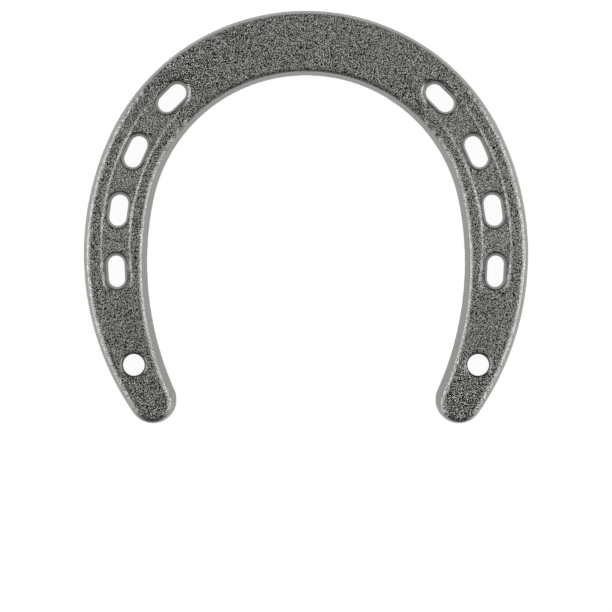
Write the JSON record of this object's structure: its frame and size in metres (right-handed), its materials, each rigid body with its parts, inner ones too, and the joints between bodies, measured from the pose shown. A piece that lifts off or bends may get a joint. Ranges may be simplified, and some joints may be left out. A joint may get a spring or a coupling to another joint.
{
  "type": "horseshoe",
  "caption": "Cast-iron horseshoe: a flat open U with leaning walls and rounded edges, nail slots along shallow creases, and a round hole near each heel tip.",
  "frame": {"origin": "on the flat back, in the middle of the overall width and length", "axes": "+X across the shoe, +Y to the toe, +Z out of the creased face"},
  "size_m": [0.1202, 0.1116, 0.009],
  "materials": {
    "cast_iron": "rough as-cast skin with a fine pebbled grain, dark grey with brighter rubbed edges"
  },
  "bodies": {
    "root": {"horseshoe_casting": "cast_iron"}
  },
  "joints": []
}
